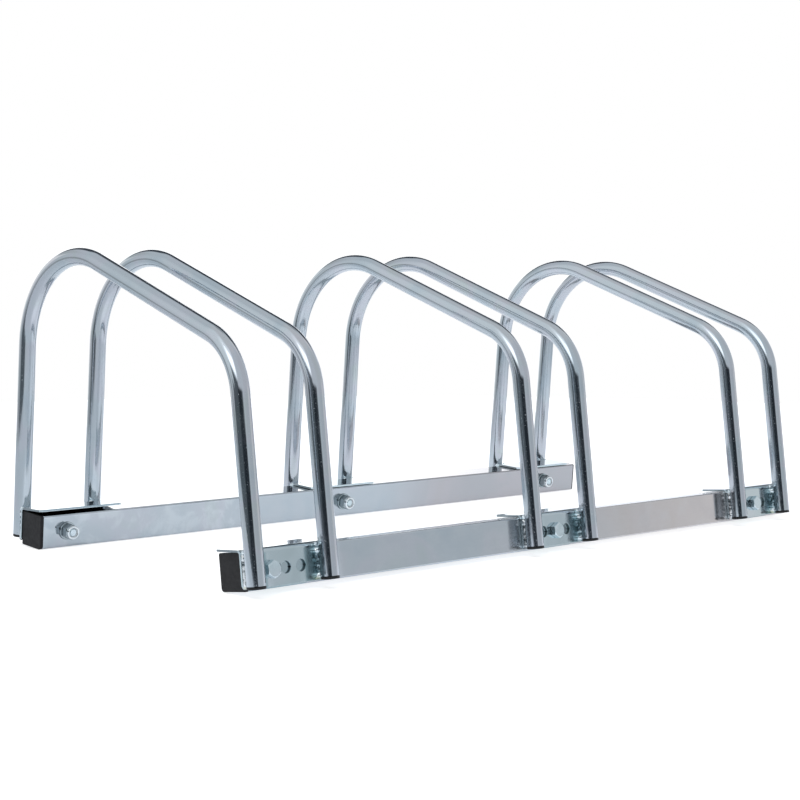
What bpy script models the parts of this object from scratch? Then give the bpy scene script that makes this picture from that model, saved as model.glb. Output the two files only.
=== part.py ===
"""Floor-standing bicycle rack for three bicycles.

Six bent tube hoops stand in three pairs. Each pair is welded to an angle bracket at the
front and one at the rear, and the brackets are bolted to two rectangular rails. A wheel
stands in the slot between the hoops of a pair.

Metres, +Z up. X runs along the rails, -Y is the front with the low ends of the hoops.
The origin is on the floor, in the middle of the rack.
"""

from math import cos, pi, radians, sin, tan

import bmesh
import bpy
from mathutils import Matrix, Vector

# Clearance between pieces that touch
SEAT = 0.0003

# Hoop tube
TUBE_DIAMETER = 0.016
TUBE_WALL = 0.0012
TUBE_SIDES = 12
FRONT_LEAN = radians(8.2)
REAR_LEAN = radians(3.6)
LEG_SPAN = 0.349
FOOT_CLEARANCE = 0.0075
FRONT_CORNER_HEIGHT = 0.1965
REAR_CORNER_HEIGHT = 0.3025
FRONT_BEND_RADIUS = 0.058
REAR_BEND_RADIUS = 0.087
FRONT_BEND_STEPS = 6
REAR_BEND_STEPS = 10

# Hoops along the rails
HOOP_SPACING = 0.078
PAIR_PITCHES = (0.332, 0.323)
LEFT_END_INSET = 0.0025
RIGHT_END_INSET = 0.0165

# Rails, both cut to one length; the front one sits further to the right by its shift
RAIL_DEPTH = 0.031
RAIL_HEIGHT = 0.0315
RAIL_WALL = 0.0015
RAIL_CORNER = 0.003
RAIL_CORNER_STEPS = 3
RAIL_HOLE_CLEARANCE = 0.0005
FRONT_RAIL_SHIFT = 0.003
LEAST_INNER_CORNER = 0.0005

# Angle brackets, which stop short of the outer sides of their two legs by the inset
BRACKET_END_INSET = 0.00125
BRACKET_THICKNESS = 0.002
BRACKET_BEND = 0.002
BRACKET_BEND_STEPS = 4
BRACKET_SHORTFALL = 0.0018
# From the left: how far each bracket opens past a right angle, in degrees, and how far
# above a tight fit on the rail it is bolted
BRACKET_OPENINGS = {"front": (2.5, 2.5, 2.5), "rear": (5.0, 0.5, 0.5)}
BRACKET_LIFTS = {"front": (0.0, 0.0, 0.0), "rear": (0.0011, 0.0, 0.0)}
BRACKET_CORNER = 0.004
BRACKET_CORNER_STEPS = 3
BRACKET_HOLE_DIAMETER = 0.0105
BRACKET_HOLE_PITCH = 0.016
BRACKET_HOLE_STEPS = 16
# The hole that each pair's bolt goes through, counted from the middle one
BOLTED_HOLE = (-1, 0, 0)

# Weld beads beside each hoop leg
BEAD_REACH = 0.0023
BEAD_BULGE = 0.0008
BEAD_EDGE = 0.0004
BEAD_END = 0.0015
BEAD_END_FULLNESS = 0.6
BEAD_TOP_INSET = 0.002
BEAD_ROOT_ANGLE = radians(22)
BEAD_TOE_ANGLE = radians(62)
BEAD_ARC_STEPS = 3

# Bolts, washers and lock nuts
BOLT_DIAMETER = 0.008
BOLT_CHAMFER = 0.0008
BOLT_END_RECESS = 0.0008
HEAD_FLATS = 0.013
HEAD_HEIGHT = 0.0053
HEAD_CHAMFER = 0.0006
WASHER_DIAMETER = 0.017
WASHER_THICKNESS = 0.0016
WASHER_BORE_CLEARANCE = 0.0004
NUT_FLATS = 0.013
NUT_HEX_HEIGHT = 0.0065
NUT_COLLAR_HEIGHT = 0.003
NUT_COLLAR_DIAMETER = 0.0126
NUT_COLLAR_ROUNDING = 0.001
ROUND_STEPS = 12
WASHER_STEPS = 20

# Plastic plugs
FOOT_DISC = 0.002
FOOT_DISC_ROUNDING = 0.0005
FOOT_STEM_LENGTH = 0.012
FOOT_STEM_TAPER = 0.0006
LEFT_CAP_COLLAR = 0.003
RIGHT_CAP_COLLAR = 0.0012
CAP_STEM_LENGTH = 0.012
CAP_STEM_TAPER = 0.0006
CAP_EDGE = 0.0006

# Faces that meet at less than this angle are shaded as one round surface
SMOOTH_ANGLE = radians(35)

TUBE_RADIUS = TUBE_DIAMETER / 2
BOLT_RADIUS = BOLT_DIAMETER / 2
BRACKET_LENGTH = HOOP_SPACING + TUBE_DIAMETER - 2 * BRACKET_END_INSET
RAIL_LENGTH = LEFT_END_INSET + sum(PAIR_PITCHES) + HOOP_SPACING + RIGHT_END_INSET
NUT_HEIGHT = NUT_HEX_HEIGHT + NUT_COLLAR_HEIGHT

# Depths measured inwards from the leg's middle, square to the leg
WEB_OUTER = TUBE_RADIUS + SEAT
WEB_INNER = WEB_OUTER + BRACKET_THICKNESS
RAIL_OUTER = WEB_INNER + SEAT
RAIL_INNER = RAIL_OUTER + RAIL_DEPTH
RAIL_MIDDLE = RAIL_OUTER + RAIL_DEPTH / 2
HEAD_SEAT = WEB_OUTER - SEAT
WASHER_SEAT = RAIL_INNER + SEAT
NUT_SEAT = WASHER_SEAT + WASHER_THICKNESS + SEAT
BOLT_LENGTH = NUT_SEAT + NUT_HEIGHT - BOLT_END_RECESS - HEAD_SEAT


def clear_scene():
    for old in list(bpy.data.objects):
        bpy.data.objects.remove(old, do_unlink=True)


def make_material(name, colour, roughness, metallic):
    material = bpy.data.materials.new(name)
    material.use_nodes = True
    shader = material.node_tree.nodes["Principled BSDF"]
    shader.inputs["Base Color"].default_value = (*colour, 1.0)
    shader.inputs["Roughness"].default_value = roughness
    shader.inputs["Metallic"].default_value = metallic
    material.diffuse_color = (*colour, 1.0)
    return material


def finish_mesh(bm, name, material):
    """Turn a bmesh into a mesh with outward faces and smooth round sides."""
    bmesh.ops.recalc_face_normals(bm, faces=bm.faces)
    mesh = bpy.data.meshes.new(name)
    bm.to_mesh(mesh)
    bm.free()
    mesh.materials.append(material)
    mesh.shade_smooth()
    mesh.set_sharp_from_angle(angle=SMOOTH_ANGLE)
    return mesh


def place(mesh, name, parent=None, location=(0, 0, 0), rotation=(0, 0, 0)):
    piece = bpy.data.objects.new(name, mesh)
    bpy.context.scene.collection.objects.link(piece)
    piece.parent = parent
    piece.location = location
    piece.rotation_euler = rotation
    return piece


def bridge_rings(bm, rings):
    """Skin a list of rings of points with quads and return their vertices."""
    skins = [[bm.verts.new(point) for point in ring] for ring in rings]
    for lower, upper in zip(skins, skins[1:]):
        for index in range(len(lower)):
            after = (index + 1) % len(lower)
            bm.faces.new((lower[index], lower[after], upper[after], upper[index]))
    return skins


def close_wall(bm, outer, inner):
    """Join the end rings of an outer and an inner skin into a wall's end faces."""
    for end in (0, -1):
        for index in range(len(outer[end])):
            after = (index + 1) % len(outer[end])
            face = (outer[end][index], outer[end][after], inner[end][after], inner[end][index])
            bm.faces.new(face)


def capped_rings(rings):
    """Closed solid through the rings, with a flat face at each end."""
    bm = bmesh.new()
    skins = bridge_rings(bm, rings)
    bm.faces.new(skins[0])
    bm.faces.new(skins[-1])
    return bm


def circle(radius, steps, turn=0.0):
    angles = [turn + 2 * pi * step / steps for step in range(steps)]
    return [(radius * cos(angle), radius * sin(angle)) for angle in angles]


def turned(profile, steps=ROUND_STEPS):
    """Closed solid turned round Z from (radius, height) pairs."""
    rings = [[(x, y, height) for x, y in circle(radius, steps)] for radius, height in profile]
    return capped_rings(rings)


def hexagon(flats):
    """Corners of a hexagon, one of them on the Y axis."""
    return circle(flats / 2 / cos(pi / 6), 6, turn=pi / 2)


def hex_prism(flats, height, chamfer):
    """Hexagonal solid from Z 0 up, with its top edge broken."""
    full = hexagon(flats)
    narrow = hexagon(flats - 2 * chamfer)
    rings = [
        [(x, y, 0) for x, y in full],
        [(x, y, height - chamfer) for x, y in full],
        [(x, y, height) for x, y in narrow],
    ]
    return capped_rings(rings)


def combine(base, tools, operation):
    """Mesh of base after each tool object is joined to it or cut from it."""
    for tool in tools:
        tool.hide_render = True
        tool.display_type = "WIRE"
        step = base.modifiers.new(operation.title(), "BOOLEAN")
        step.operation = operation
        step.object = tool
        step.solver = "EXACT"
    bpy.context.view_layer.update()
    graph = bpy.context.evaluated_depsgraph_get()
    mesh = bpy.data.meshes.new_from_object(base.evaluated_get(graph))
    for used in (base, *tools):
        bpy.data.objects.remove(used, do_unlink=True)
    return mesh


def merged(base_bm, tool_bms, operation, name, material):
    """Combine loose bmeshes with Booleans and return one finished mesh."""
    base = place(finish_mesh(base_bm, name, material), name)
    tools = []
    for index, tool_bm in enumerate(tool_bms):
        tool_name = f"{name}_tool_{index}"
        tools.append(place(finish_mesh(tool_bm, tool_name, material), tool_name))
    mesh = combine(base, tools, operation)
    mesh.name = name
    return mesh


def cross_bar(radius, near, far, x, height, steps=ROUND_STEPS):
    """Round bar along Y, from near to far, as a cutter."""
    rings = []
    for depth in (near, far):
        rings.append([(x + u, depth, height + v) for u, v in circle(radius, steps)])
    return capped_rings(rings)


def rounded_rectangle(width, height, corner, steps):
    """Outline round the middle of a rectangle, as (across, up) pairs."""
    points = []
    for quarter, (side, level) in enumerate(((1, 1), (-1, 1), (-1, -1), (1, -1))):
        for step in range(steps + 1):
            angle = pi / 2 * (quarter + step / steps)
            across = side * (width / 2 - corner) + corner * cos(angle)
            up = level * (height / 2 - corner) + corner * sin(angle)
            points.append((across, up))
    return points


def rail_outline(inset=0.0):
    """The rail's outline, or one that lies inside it by an even inset."""
    corner = max(RAIL_CORNER - inset, LEAST_INNER_CORNER)
    depth = RAIL_DEPTH - 2 * inset
    height = RAIL_HEIGHT - 2 * inset
    return rounded_rectangle(depth, height, corner, RAIL_CORNER_STEPS)


def rail_centre_height(lean):
    """Height of the rail's middle up the leg that puts its lowest edge on the floor."""
    lowest = min(up * cos(lean) - across * sin(lean) for across, up in rail_outline())
    return (RAIL_MIDDLE * sin(lean) - lowest - FOOT_CLEARANCE) / cos(lean)


class Side:
    """The front or the rear row of legs, with a frame that leans as the legs do.

    In the frame, X runs along the rail, Y points inwards and Z runs up the legs, and
    the frame's origin is at the underside of the foot plugs.
    """

    def __init__(self, name, facing, lean, rail_shift):
        self.name = name
        self.facing = facing
        self.lean = lean
        self.rail_start = rail_left_end() + rail_shift
        self.rail_height = rail_centre_height(lean)
        self.frame = bpy.data.objects.new(f"{name}_frame", None)
        bpy.context.scene.collection.objects.link(self.frame)
        self.frame.location = (0, -facing * LEG_SPAN / 2, FOOT_CLEARANCE)
        self.frame.rotation_euler = (-lean, 0, 0 if facing > 0 else pi)

    def along(self, x):
        """World X as X in this side's frame."""
        return self.facing * x

    def leg_point(self, up):
        """World point on a leg's middle line, in the plane of the hoop."""
        out = LEG_SPAN / 2 - up * sin(self.lean)
        return Vector((0, -self.facing * out, FOOT_CLEARANCE + up * cos(self.lean)))

    def leg_corner(self, height):
        """World point where the leg's middle line reaches a height."""
        return self.leg_point((height - FOOT_CLEARANCE) / cos(self.lean))


def rail_left_end():
    """World X of the rear rail's left end, with the whole rack centred on X 0."""
    left = LEFT_END_INSET - TUBE_RADIUS
    right = RAIL_LENGTH + FRONT_RAIL_SHIFT + SEAT + RIGHT_CAP_COLLAR
    return -(left + right) / 2


def pair_offsets():
    """Each pair's middle, from the rear rail's left end."""
    offsets = [LEFT_END_INSET + HOOP_SPACING / 2]
    for pitch in PAIR_PITCHES:
        offsets.append(offsets[-1] + pitch)
    return offsets


def pair_positions():
    return [rail_left_end() + offset for offset in pair_offsets()]


def hoop_positions():
    return [x + side * HOOP_SPACING / 2 for x in pair_positions() for side in (-1, 1)]


def bolt_positions():
    return [x + hole * BRACKET_HOLE_PITCH for x, hole in zip(pair_positions(), BOLTED_HOLE)]


def bend_points(before, corner, after, radius, steps):
    """Points of the arc that rounds a corner of the hoop."""
    inward = (before - corner).normalized()
    onward = (after - corner).normalized()
    half = inward.angle(onward) / 2
    centre = corner + (inward + onward).normalized() * (radius / sin(half))
    start = corner + inward * (radius / tan(half)) - centre
    turn = (pi - 2 * half) * (1 if inward.cross(onward).x < 0 else -1)
    spokes = [Matrix.Rotation(turn * step / steps, 3, "X") @ start for step in range(steps + 1)]
    return [centre + spoke for spoke in spokes]


def hoop_route(front, rear):
    """Middle line of a hoop from its rear foot to its front foot, in the plane X 0."""
    seat = FOOT_DISC + SEAT
    start = rear.leg_point(seat)
    end = front.leg_point(seat)
    back = rear.leg_corner(REAR_CORNER_HEIGHT)
    low = front.leg_corner(FRONT_CORNER_HEIGHT)
    route = [start]
    route += bend_points(start, back, low, REAR_BEND_RADIUS, REAR_BEND_STEPS)
    route += bend_points(back, low, end, FRONT_BEND_RADIUS, FRONT_BEND_STEPS)
    route.append(end)
    return route


def sweep_circle(route, radius):
    """Rings of a round tube square to a route that lies in the plane X 0."""
    rings = []
    last = len(route) - 1
    for index, point in enumerate(route):
        ahead = (route[min(index + 1, last)] - point).normalized() if index < last else Vector()
        behind = (point - route[max(index - 1, 0)]).normalized() if index > 0 else Vector()
        along = (ahead + behind).normalized()
        across = Vector((0, -along.z, along.y))
        stretch = 1 / max(along.dot(ahead), along.dot(behind))
        ring = []
        for u, v in circle(radius, TUBE_SIDES):
            ring.append(point + Vector((u, 0, 0)) + across * (v * stretch))
        rings.append(ring)
    return rings


def hoop_mesh(front, rear, material):
    """Bent tube with open ends."""
    route = hoop_route(front, rear)
    bm = bmesh.new()
    outer = bridge_rings(bm, sweep_circle(route, TUBE_RADIUS))
    inner = bridge_rings(bm, sweep_circle(route, TUBE_RADIUS - TUBE_WALL))
    close_wall(bm, outer, inner)
    return finish_mesh(bm, "hoop", material)


def rail_mesh(side, material):
    """Rectangular tube with a pair of holes for each bolt, centred in its own frame."""
    bm = bmesh.new()
    skins = []
    for inset in (0.0, RAIL_WALL):
        rings = [[(x, across, up) for across, up in rail_outline(inset)] for x in (0, RAIL_LENGTH)]
        skins.append(bridge_rings(bm, rings))
    close_wall(bm, *skins)
    radius = BOLT_RADIUS + RAIL_HOLE_CLEARANCE
    cutters = []
    for x in bolt_positions():
        from_left = x - side.rail_start
        offset = from_left if side.facing > 0 else RAIL_LENGTH - from_left
        cutters.append(cross_bar(radius, -RAIL_DEPTH, RAIL_DEPTH, offset, 0))
    return merged(bm, cutters, "DIFFERENCE", f"rail_{side.name}", material)


def bracket_profile(opening):
    """Angle section as (inwards, up) pairs, with up measured from the rail's top."""
    centre = (WEB_INNER + BRACKET_BEND, SEAT - BRACKET_BEND * cos(opening))
    sweep = pi / 2 - opening
    foot = BRACKET_SHORTFALL - RAIL_HEIGHT
    outer = []
    inner = []
    for step in range(BRACKET_BEND_STEPS + 1):
        angle = pi - sweep * step / BRACKET_BEND_STEPS
        for arc, radius in ((outer, BRACKET_BEND + BRACKET_THICKNESS), (inner, BRACKET_BEND)):
            arc.append((centre[0] + radius * cos(angle), centre[1] + radius * sin(angle)))
    flange = (RAIL_INNER - inner[-1][0]) / cos(opening)
    step_in = flange * cos(opening)
    step_up = flange * sin(opening)
    top = [(WEB_OUTER, foot), *outer, (outer[-1][0] + step_in, outer[-1][1] + step_up)]
    under = [(inner[-1][0] + step_in, inner[-1][1] + step_up), *reversed(inner), (WEB_INNER, foot)]
    return top + under


def bracket_blank(opening):
    """Bent plate with rounded free corners, centred on X 0."""
    half = BRACKET_LENGTH / 2
    profile = bracket_profile(opening)
    bm = capped_rings([[(x, depth, up) for depth, up in profile] for x in (-half, half)])
    bm.verts.ensure_lookup_table()
    count = len(profile)
    tips = (0, count // 2 - 1, count // 2, count - 1)
    corner_edges = []
    for end in (0, count):
        for first, second in ((tips[0], tips[3]), (tips[1], tips[2])):
            corner_edges.append(bm.edges.get((bm.verts[end + first], bm.verts[end + second])))
    bmesh.ops.bevel(bm, geom=corner_edges, offset=BRACKET_CORNER, segments=BRACKET_CORNER_STEPS,
                    profile=0.5, affect="EDGES")
    return bm


def bead_rings(x, hand, toe):
    """Rings of a weld bead in the corner between a leg and the bracket, out to its toe."""
    clear = TUBE_RADIUS + SEAT
    sunk = WEB_OUTER + BRACKET_THICKNESS / 2
    section = [(toe, sunk), (toe, WEB_OUTER)]
    face = (clear * sin(BEAD_TOE_ANGLE), clear * cos(BEAD_TOE_ANGLE))
    section.append(((toe + face[0]) / 2 + BEAD_BULGE, (WEB_OUTER + face[1]) / 2 - BEAD_BULGE))
    step_angle = (BEAD_TOE_ANGLE - BEAD_ROOT_ANGLE) / BEAD_ARC_STEPS
    arc_radius = clear / cos(step_angle / 2)
    for step in range(BEAD_ARC_STEPS + 1):
        angle = BEAD_TOE_ANGLE - step_angle * step
        section.append((arc_radius * sin(angle), arc_radius * cos(angle)))
    section.append((section[-1][0], sunk))
    bottom = BRACKET_SHORTFALL - RAIL_HEIGHT + BEAD_END
    top = -BEAD_TOP_INSET
    stations = (
        (bottom, BEAD_END_FULLNESS),
        (bottom + BEAD_END, 1.0),
        (top - BEAD_END, 1.0),
        (top, BEAD_END_FULLNESS),
    )
    rings = []
    for level, fullness in stations:
        ring = []
        for across, depth in section:
            lifted = max(sunk - depth, 0) * fullness
            ring.append((x + hand * across, sunk - lifted, level))
        rings.append(ring)
    return rings


def bracket_mesh(opening, material):
    """Angle bracket with its row of holes and four weld beads, up from the rail's top."""
    radius = BRACKET_HOLE_DIAMETER / 2
    height = -RAIL_HEIGHT / 2
    holes = []
    for hole in (-1, 0, 1):
        x = hole * BRACKET_HOLE_PITCH
        holes.append(cross_bar(radius, 0, 2 * WEB_INNER, x, height, BRACKET_HOLE_STEPS))
    plate = merged(bracket_blank(opening), holes, "DIFFERENCE", "bracket_plate", material)
    beads = []
    wide_toe = TUBE_RADIUS + SEAT + BEAD_REACH
    edge_toe = min(wide_toe, TUBE_RADIUS - BRACKET_END_INSET - BEAD_EDGE)
    for leg in (-1, 1):
        beads.append(capped_rings(bead_rings(leg * HOOP_SPACING / 2, -leg, wide_toe)))
        beads.append(capped_rings(bead_rings(leg * HOOP_SPACING / 2, leg, edge_toe)))
    bm = bmesh.new()
    bm.from_mesh(plate)
    return merged(bm, beads, "UNION", "bracket", material)


def bolt_mesh(material):
    """Hexagon bolt: its head sits below Z 0 and its shank runs up."""
    profile = (
        (BOLT_RADIUS, -HEAD_HEIGHT / 2),
        (BOLT_RADIUS, BOLT_LENGTH - BOLT_CHAMFER),
        (BOLT_RADIUS - BOLT_CHAMFER, BOLT_LENGTH),
    )
    shank = turned(profile)
    head = hex_prism(HEAD_FLATS, HEAD_HEIGHT, HEAD_CHAMFER)
    bmesh.ops.rotate(head, verts=head.verts, matrix=Matrix.Rotation(pi, 3, "Y"))
    return merged(head, [shank], "UNION", "bolt", material)


def washer_mesh(material):
    """Flat washer from Z 0 up."""
    bm = bmesh.new()
    skins = []
    for radius in (WASHER_DIAMETER / 2, BOLT_RADIUS + WASHER_BORE_CLEARANCE):
        points = circle(radius, WASHER_STEPS)
        rings = [[(x, y, height) for x, y in points] for height in (0, WASHER_THICKNESS)]
        skins.append(bridge_rings(bm, rings))
    close_wall(bm, *skins)
    return finish_mesh(bm, "washer", material)


def nut_mesh(material):
    """Lock nut from Z 0 up: a hexagon with a round collar on top."""
    collar = NUT_COLLAR_DIAMETER / 2
    profile = (
        (collar, NUT_HEX_HEIGHT / 2),
        (collar, NUT_HEIGHT - NUT_COLLAR_ROUNDING),
        (collar - NUT_COLLAR_ROUNDING, NUT_HEIGHT),
    )
    hexagonal = hex_prism(NUT_FLATS, NUT_HEX_HEIGHT, HEAD_CHAMFER)
    body = merged(hexagonal, [turned(profile)], "UNION", "nut_body", material)
    bm = bmesh.new()
    bm.from_mesh(body)
    bore = turned(((BOLT_RADIUS + SEAT, -NUT_HEIGHT), (BOLT_RADIUS + SEAT, 2 * NUT_HEIGHT)))
    return merged(bm, [bore], "DIFFERENCE", "nut", material)


def foot_mesh(material):
    """Plug for a leg: a disc under the tube and a stem that goes into it."""
    stem = TUBE_RADIUS - TUBE_WALL - SEAT
    profile = (
        (TUBE_RADIUS - FOOT_DISC_ROUNDING, 0),
        (TUBE_RADIUS, FOOT_DISC_ROUNDING),
        (TUBE_RADIUS, FOOT_DISC),
        (stem, FOOT_DISC),
        (stem - FOOT_STEM_TAPER, FOOT_DISC + FOOT_STEM_LENGTH),
    )
    return finish_mesh(turned(profile, TUBE_SIDES), "foot_plug", material)


def cap_mesh(collar, material):
    """Plug for a rail's end: a collar outside it and a stem that goes into it along +X."""
    stem = RAIL_WALL + SEAT
    stations = (
        (-collar, CAP_EDGE),
        (CAP_EDGE - collar, 0.0),
        (0.0, 0.0),
        (0.0, stem),
        (CAP_STEM_LENGTH, stem + CAP_STEM_TAPER),
    )
    rings = [[(x, across, up) for across, up in rail_outline(inset)] for x, inset in stations]
    return finish_mesh(capped_rings(rings), "rail_cap", material)


def build_rail(side, caps, material):
    """One rail with a plug in each end."""
    left = side.rail_start
    right = left + RAIL_LENGTH
    middle = (RAIL_MIDDLE, side.rail_height)
    start = side.along(left if side.facing > 0 else right)
    place(rail_mesh(side, material), f"rail_{side.name}", side.frame, (start, *middle))
    for end, x, inward in (("left", left - SEAT, 1), ("right", right + SEAT, -1)):
        turn = 0 if inward * side.facing > 0 else pi
        name = f"rail_cap_{side.name}_{end}"
        place(caps[end], name, side.frame, (side.along(x), *middle), (0, 0, turn))


def build_brackets(side, meshes):
    """One side's brackets, each with the bolt, washer and lock nut that hold it."""
    rail_top = side.rail_height + RAIL_HEIGHT / 2
    openings = BRACKET_OPENINGS[side.name]
    lifts = BRACKET_LIFTS[side.name]
    seats = (("bolt", HEAD_SEAT), ("washer", WASHER_SEAT), ("nut", NUT_SEAT))
    across = (-pi / 2, 0, 0)
    for number, (x, bolt_x) in enumerate(zip(pair_positions(), bolt_positions()), start=1):
        name = f"bracket_{side.name}_{number}"
        mesh = meshes[openings[number - 1]]
        place(mesh, name, side.frame, (side.along(x), 0, rail_top + lifts[number - 1]))
        for kind, depth in seats:
            seat = (side.along(bolt_x), depth, side.rail_height)
            place(meshes[kind], f"{kind}_{side.name}_{number}", side.frame, seat, across)


def build_feet(side, mesh):
    """The plug in the bottom of each leg of one side."""
    for number, x in enumerate(hoop_positions(), start=1):
        place(mesh, f"foot_plug_{side.name}_{number}", side.frame, (side.along(x), 0, 0))


def main():
    clear_scene()
    materials = {
        "tube": make_material("zinc_plated_tube", (0.62, 0.66, 0.69), 0.22, 1.0),
        "rail": make_material("zinc_plated_rail", (0.55, 0.57, 0.60), 0.42, 1.0),
        "bracket": make_material("zinc_plated_bracket", (0.50, 0.55, 0.57), 0.36, 1.0),
        "fastener": make_material("zinc_plated_fastener", (0.66, 0.68, 0.70), 0.30, 1.0),
        "foot": make_material("black_foot_plug", (0.025, 0.025, 0.027), 0.50, 0.0),
        "cap": make_material("black_rail_cap", (0.033, 0.032, 0.035), 0.55, 0.0),
    }
    front = Side("front", 1, FRONT_LEAN, FRONT_RAIL_SHIFT)
    rear = Side("rear", -1, REAR_LEAN, 0.0)
    meshes = {
        "bolt": bolt_mesh(materials["fastener"]),
        "washer": washer_mesh(materials["fastener"]),
        "nut": nut_mesh(materials["fastener"]),
    }
    for opening in sorted({*BRACKET_OPENINGS["front"], *BRACKET_OPENINGS["rear"]}):
        meshes[opening] = bracket_mesh(radians(opening), materials["bracket"])
    foot = foot_mesh(materials["foot"])
    caps = {
        "left": cap_mesh(LEFT_CAP_COLLAR, materials["cap"]),
        "right": cap_mesh(RIGHT_CAP_COLLAR, materials["cap"]),
    }
    hoop = hoop_mesh(front, rear, materials["tube"])
    for number, x in enumerate(hoop_positions(), start=1):
        place(hoop, f"hoop_{number}", location=(x, 0, 0))
    for side in (front, rear):
        build_rail(side, caps, materials["rail"])
        build_brackets(side, meshes)
        build_feet(side, foot)
    bpy.context.view_layer.update()


main()
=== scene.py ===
"""Bicycle rack for three bicycles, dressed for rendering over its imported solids."""

from math import ceil, cos, pi, radians, sin, sqrt, tan

import bmesh
import bpy
from mathutils import Matrix, Vector, noise


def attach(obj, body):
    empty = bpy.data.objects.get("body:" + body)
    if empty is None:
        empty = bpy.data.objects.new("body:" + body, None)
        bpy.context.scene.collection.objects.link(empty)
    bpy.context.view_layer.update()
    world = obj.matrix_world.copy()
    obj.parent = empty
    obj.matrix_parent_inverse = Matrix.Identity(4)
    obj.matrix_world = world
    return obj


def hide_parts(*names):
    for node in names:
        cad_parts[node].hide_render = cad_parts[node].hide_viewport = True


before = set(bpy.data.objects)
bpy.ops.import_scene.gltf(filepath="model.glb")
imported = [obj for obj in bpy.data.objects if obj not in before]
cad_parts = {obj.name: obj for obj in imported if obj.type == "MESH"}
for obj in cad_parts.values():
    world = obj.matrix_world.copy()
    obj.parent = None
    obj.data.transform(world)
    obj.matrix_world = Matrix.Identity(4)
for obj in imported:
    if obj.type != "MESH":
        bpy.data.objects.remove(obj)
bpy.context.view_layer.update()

# The rack's sizes, in metres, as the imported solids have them
SEAT = 0.0003
TUBE_RADIUS = 0.008
TUBE_WALL = 0.0012
FRONT_LEAN = radians(8.2)
REAR_LEAN = radians(3.6)
LEG_SPAN = 0.349
FOOT_CLEARANCE = 0.0075
FRONT_CORNER_HEIGHT = 0.1965
REAR_CORNER_HEIGHT = 0.3025
FRONT_BEND_RADIUS = 0.058
REAR_BEND_RADIUS = 0.087
HOOP_SPACING = 0.078
PAIRS = (-0.334, -0.002, 0.321)
BOLTED_HOLE = (-1, 0, 0)
RAIL_LEFT = {"front": -0.3725, "rear": -0.3755}
RAIL_LENGTH = 0.752
RAIL_DEPTH = 0.031
RAIL_HEIGHT = 0.0315
RAIL_WALL = 0.0015
RAIL_CORNER = 0.003
# As seen on each corner; the last is the inner lower one, on which the rack stands
RAIL_CORNERS = (0.0015, 0.0015, 0.0015, RAIL_CORNER + 0.0002)
LEAST_CORNER = 0.0005
BRACKET_LENGTH = 0.0915
BRACKET_THICKNESS = 0.002
BRACKET_BEND = 0.002
BRACKET_OPENINGS = {"front": (2.5, 2.5, 2.5), "rear": (5.0, 0.5, 0.5)}
BRACKET_LIFTS = {"front": (0.0, 0.0, 0.0), "rear": (0.0011, 0.0, 0.0)}
BRACKET_SHORTFALL = 0.0018
BRACKET_CORNER = 0.004
HOLE_RADIUS = 0.00525
HOLE_PITCH = 0.016
BOLT_RADIUS = 0.004
FOOT_DISC = 0.002
CAP_COLLARS = {"left": 0.003, "right": 0.0012}

WEB_OUTER = TUBE_RADIUS + SEAT
WEB_INNER = WEB_OUTER + BRACKET_THICKNESS
RAIL_OUTER = WEB_INNER + SEAT
RAIL_INNER = RAIL_OUTER + RAIL_DEPTH
RAIL_MIDDLE = RAIL_OUTER + RAIL_DEPTH / 2
HEAD_SEAT = WEB_OUTER - SEAT
WASHER_SEAT = RAIL_INNER + SEAT
WASHER_THICKNESS = 0.0016
NUT_SEAT = WASHER_SEAT + WASHER_THICKNESS + SEAT
NUT_HEIGHT = 0.0095
BOLT_END_IN_NUT = 0.0008
BOLT_LENGTH = NUT_SEAT + NUT_HEIGHT - BOLT_END_IN_NUT - HEAD_SEAT

# Faces that meet at a wider angle than this are shaded apart
SMOOTH = radians(35)
HOOPS = [pair + side * HOOP_SPACING / 2 for pair in PAIRS for side in (-1, 1)]


# Shapes

def band(bm, lower, upper):
    """Quads between two rings of vertices."""
    for index in range(len(lower)):
        after = (index + 1) % len(lower)
        bm.faces.new((lower[index], lower[after], upper[after], upper[index]))


def grid_skin(bm, rings):
    """Skin rings of points with quads and return their vertices."""
    skins = [[bm.verts.new(point) for point in ring] for ring in rings]
    for lower, upper in zip(skins, skins[1:]):
        band(bm, lower, upper)
    return skins


def to_mesh(bm, name, angle=SMOOTH):
    bmesh.ops.recalc_face_normals(bm, faces=bm.faces)
    mesh = bpy.data.meshes.new(name)
    bm.to_mesh(mesh)
    bm.free()
    mesh.shade_smooth()
    mesh.set_sharp_from_angle(angle=angle)
    return mesh


def solid(rings, name, angle=SMOOTH, hollow=False):
    """Closed solid through the rings, flat at its ends, or a hollow ring such as a washer."""
    bm = bmesh.new()
    skins = grid_skin(bm, rings)
    if hollow:
        band(bm, skins[-1], skins[0])
    else:
        bm.faces.new(skins[0])
        bm.faces.new(skins[-1])
    return to_mesh(bm, name, angle)


def circle(radius, steps):
    angles = [2 * pi * step / steps for step in range(steps)]
    return [(radius * cos(angle), radius * sin(angle)) for angle in angles]


def turned(stations, steps):
    """Round rings about the Z axis, from (radius, height) pairs."""
    return [[(x, y, height) for x, y in circle(radius, steps)] for radius, height in stations]


def loose(data, name):
    piece = bpy.data.objects.new(name, data)
    bpy.context.scene.collection.objects.link(piece)
    return piece


def changed(mesh, kind, **settings):
    """Mesh with one modifier applied."""
    base = loose(mesh, mesh.name)
    step = base.modifiers.new(kind, kind)
    for key, value in settings.items():
        setattr(step, key, value)
    bpy.context.view_layer.update()
    graph = bpy.context.evaluated_depsgraph_get()
    result = bpy.data.meshes.new_from_object(base.evaluated_get(graph))
    bpy.data.objects.remove(base, do_unlink=True)
    return result


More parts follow.
